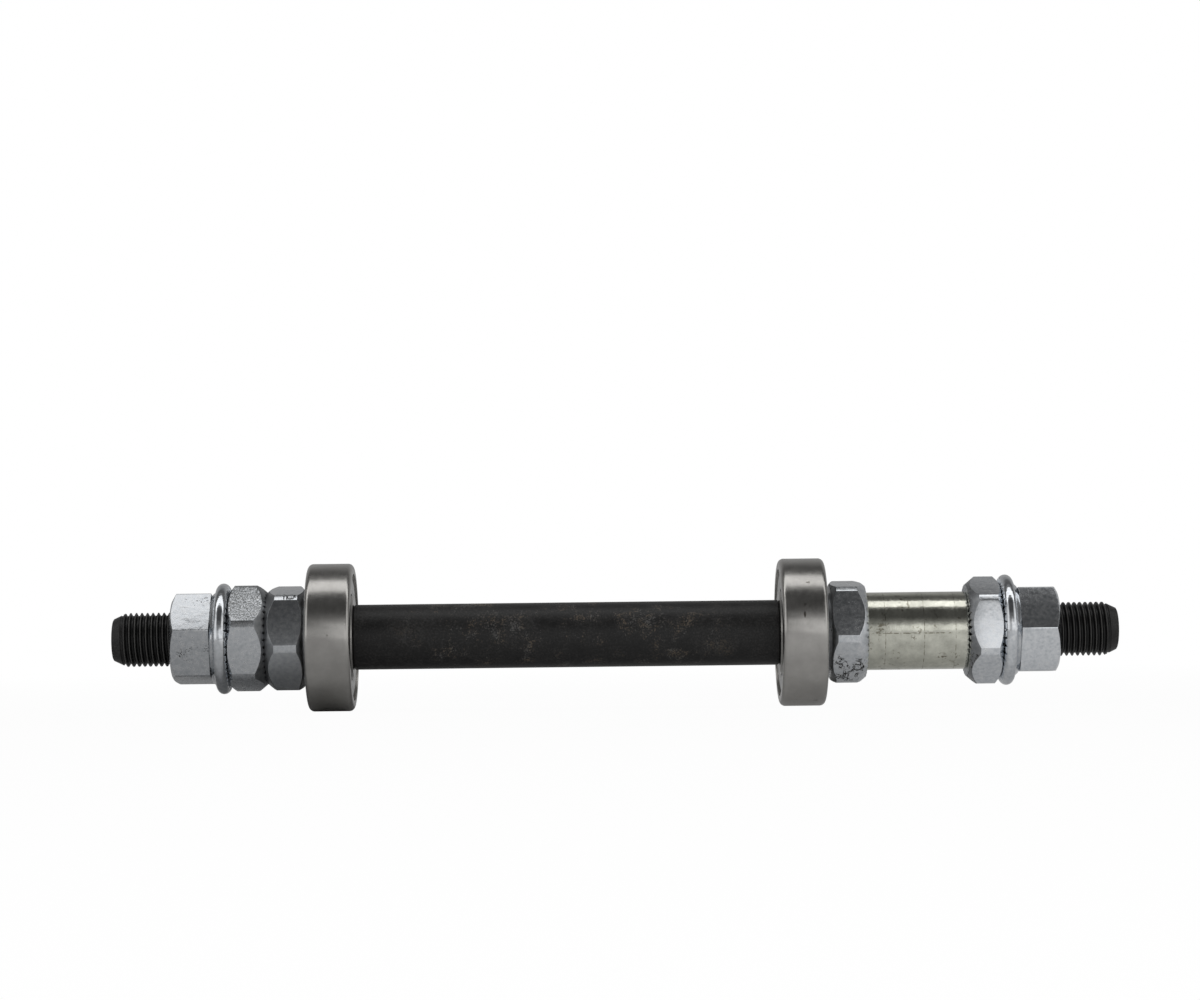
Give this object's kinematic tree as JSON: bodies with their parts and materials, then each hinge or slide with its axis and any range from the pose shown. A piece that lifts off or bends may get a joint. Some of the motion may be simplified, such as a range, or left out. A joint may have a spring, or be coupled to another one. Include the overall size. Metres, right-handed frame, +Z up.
{
  "type": "bicycle hub axle",
  "caption": "Rear hub axle: threaded black axle with two sealed ball bearings, jammed locknuts, a spacer sleeve and axle nuts with captive washers.",
  "frame": {"origin": "the middle of the axle, on its centre line", "axes": "+X along the axle towards the drive side, which has the spacer sleeve, and +Z up"},
  "size_m": [0.177, 0.026, 0.026],
  "materials": {
    "black_axle": "dull black oxide",
    "zinc_plate": "bright zinc plate",
    "bearing_steel": "ground",
    "shield_steel": "pressed sheet",
    "cage_steel": "pressed sheet",
    "ball_steel": "polished",
    "spacer_zinc": "yellowish zinc plate, turned"
  },
  "bodies": {
    "axle": {"axle": "black_axle", "spacer_sleeve": "spacer_zinc", "left_inner_ring": "bearing_steel", "left_inner_locknut": "zinc_plate", "left_outer_locknut": "zinc_plate", "right_inner_ring": "bearing_steel", "right_inner_locknut": "zinc_plate", "right_outer_locknut": "zinc_plate"},
    "left_outer_race": {"left_outer_ring": "bearing_steel", "left_outboard_shield": "shield_steel", "left_inboard_shield": "shield_steel"},
    "left_cage": {"left_cage_outboard_half": "cage_steel", "left_cage_inboard_half": "cage_steel", "left_cage_rivets": "cage_steel"},
    "left_ball_1": {"left_ball_1": "ball_steel"},
    "left_ball_2": {"left_ball_2": "ball_steel"},
    "left_ball_3": {"left_ball_3": "ball_steel"},
    "left_ball_4": {"left_ball_4": "ball_steel"},
    "left_ball_5": {"left_ball_5": "ball_steel"},
    "left_ball_6": {"left_ball_6": "ball_steel"},
    "left_ball_7": {"left_ball_7": "ball_steel"},
    "left_washer": {"left_nut_washer": "zinc_plate"},
    "left_nut": {"left_axle_nut": "zinc_plate"},
    "right_outer_race": {"right_outer_ring": "bearing_steel", "right_outboard_shield": "shield_steel", "right_inboard_shield": "shield_steel"},
    "right_cage": {"right_cage_outboard_half": "cage_steel", "right_cage_inboard_half": "cage_steel", "right_cage_rivets": "cage_steel"},
    "right_ball_1": {"right_ball_1": "ball_steel"},
    "right_ball_2": {"right_ball_2": "ball_steel"},
    "right_ball_3": {"right_ball_3": "ball_steel"},
    "right_ball_4": {"right_ball_4": "ball_steel"},
    "right_ball_5": {"right_ball_5": "ball_steel"},
    "right_ball_6": {"right_ball_6": "ball_steel"},
    "right_ball_7": {"right_ball_7": "ball_steel"},
    "right_washer": {"right_nut_washer": "zinc_plate"},
    "right_nut": {"right_axle_nut": "zinc_plate"}
  },
  "joints": [
    {"name": "left_hub_spin", "type": "hinge", "parent": "axle", "child": "left_outer_race", "pos_m": [-0.0501, 0, 0], "axis": [1, 0, 0], "continuous": true},
    {"name": "left_cage_spin", "type": "hinge", "parent": "axle", "child": "left_cage", "pos_m": [-0.0501, 0, 0], "axis": [1, 0, 0], "continuous": true},
    {"name": "left_ball_1_spin", "type": "hinge", "parent": "left_cage", "child": "left_ball_1", "pos_m": [-0.0501, -0.00561, 0.00704], "axis": [1, 0, 0], "continuous": true},
    {"name": "left_ball_2_spin", "type": "hinge", "parent": "left_cage", "child": "left_ball_2", "pos_m": [-0.0501, 0.002, 0.00877], "axis": [1, 0, 0], "continuous": true},
    {"name": "left_ball_3_spin", "type": "hinge", "parent": "left_cage", "child": "left_ball_3", "pos_m": [-0.0501, 0.00811, 0.0039], "axis": [1, 0, 0], "continuous": true},
    {"name": "left_ball_4_spin", "type": "hinge", "parent": "left_cage", "child": "left_ball_4", "pos_m": [-0.0501, 0.00811, -0.0039], "axis": [1, 0, 0], "continuous": true},
    {"name": "left_ball_5_spin", "type": "hinge", "parent": "left_cage", "child": "left_ball_5", "pos_m": [-0.0501, 0.002, -0.00877], "axis": [1, 0, 0], "continuous": true},
    {"name": "left_ball_6_spin", "type": "hinge", "parent": "left_cage", "child": "left_ball_6", "pos_m": [-0.0501, -0.00561, -0.00704], "axis": [1, 0, 0], "continuous": true},
    {"name": "left_ball_7_spin", "type": "hinge", "parent": "left_cage", "child": "left_ball_7", "pos_m": [-0.0501, -0.009, 0], "axis": [1, 0, 0], "continuous": true},
    {"name": "left_washer_travel", "type": "slide", "parent": "axle", "child": "left_washer", "axis": [-1, 0, 0], "range_m": [0, 0.0196]},
    {"name": "left_nut_turn", "type": "hinge", "parent": "left_washer", "child": "left_nut", "pos_m": [-0.0679, 0, 0], "axis": [-1, 0, 0], "range_deg": [0, 7200]},
    {"name": "right_hub_spin", "type": "hinge", "parent": "axle", "child": "right_outer_race", "pos_m": [0.0328, 0, 0], "axis": [1, 0, 0], "continuous": true},
    {"name": "right_cage_spin", "type": "hinge", "parent": "axle", "child": "right_cage", "pos_m": [0.0328, 0, 0], "axis": [1, 0, 0], "continuous": true},
    {"name": "right_ball_1_spin", "type": "hinge", "parent": "right_cage", "child": "right_ball_1", "pos_m": [0.0328, -0.00561, -0.00704], "axis": [1, 0, 0], "continuous": true},
    {"name": "right_ball_2_spin", "type": "hinge", "parent": "right_cage", "child": "right_ball_2", "pos_m": [0.0328, 0.002, -0.00877], "axis": [1, 0, 0], "continuous": true},
    {"name": "right_ball_3_spin", "type": "hinge", "parent": "right_cage", "child": "right_ball_3", "pos_m": [0.0328, 0.00811, -0.0039], "axis": [1, 0, 0], "continuous": true},
    {"name": "right_ball_4_spin", "type": "hinge", "parent": "right_cage", "child": "right_ball_4", "pos_m": [0.0328, 0.00811, 0.0039], "axis": [1, 0, 0], "continuous": true},
    {"name": "right_ball_5_spin", "type": "hinge", "parent": "right_cage", "child": "right_ball_5", "pos_m": [0.0328, 0.002, 0.00877], "axis": [1, 0, 0], "continuous": true},
    {"name": "right_ball_6_spin", "type": "hinge", "parent": "right_cage", "child": "right_ball_6", "pos_m": [0.0328, -0.00561, 0.00704], "axis": [1, 0, 0], "continuous": true},
    {"name": "right_ball_7_spin", "type": "hinge", "parent": "right_cage", "child": "right_ball_7", "pos_m": [0.0328, -0.009, 0], "axis": [1, 0, 0], "continuous": true},
    {"name": "right_washer_travel", "type": "slide", "parent": "axle", "child": "right_washer", "axis": [1, 0, 0], "range_m": [0, 0.0196]},
    {"name": "right_nut_turn", "type": "hinge", "parent": "right_washer", "child": "right_nut", "pos_m": [0.06775, 0, 0], "axis": [1, 0, 0], "range_deg": [0, 7200]}
  ],
  "couplings": [
    {"joint": "left_cage_spin", "follows": "left_hub_spin", "ratio": 0.63229},
    {"joint": "left_ball_1_spin", "follows": "left_hub_spin", "ratio": 1.7575},
    {"joint": "left_ball_2_spin", "follows": "left_hub_spin", "ratio": 1.7575},
    {"joint": "left_ball_3_spin", "follows": "left_hub_spin", "ratio": 1.7575},
    {"joint": "left_ball_4_spin", "follows": "left_hub_spin", "ratio": 1.7575},
    {"joint": "left_ball_5_spin", "follows": "left_hub_spin", "ratio": 1.7575},
    {"joint": "left_ball_6_spin", "follows": "left_hub_spin", "ratio": 1.7575},
    {"joint": "left_ball_7_spin", "follows": "left_hub_spin", "ratio": 1.7575},
    {"joint": "left_washer_travel", "follows": "left_nut_turn", "m_per_rad": 0.00015548},
    {"joint": "right_cage_spin", "follows": "right_hub_spin", "ratio": 0.63229},
    {"joint": "right_ball_1_spin", "follows": "right_hub_spin", "ratio": 1.7575},
    {"joint": "right_ball_2_spin", "follows": "right_hub_spin", "ratio": 1.7575},
    {"joint": "right_ball_3_spin", "follows": "right_hub_spin", "ratio": 1.7575},
    {"joint": "right_ball_4_spin", "follows": "right_hub_spin", "ratio": 1.7575},
    {"joint": "right_ball_5_spin", "follows": "right_hub_spin", "ratio": 1.7575},
    {"joint": "right_ball_6_spin", "follows": "right_hub_spin", "ratio": 1.7575},
    {"joint": "right_ball_7_spin", "follows": "right_hub_spin", "ratio": 1.7575},
    {"joint": "right_washer_travel", "follows": "right_nut_turn", "m_per_rad": 0.00015548}
  ]
}
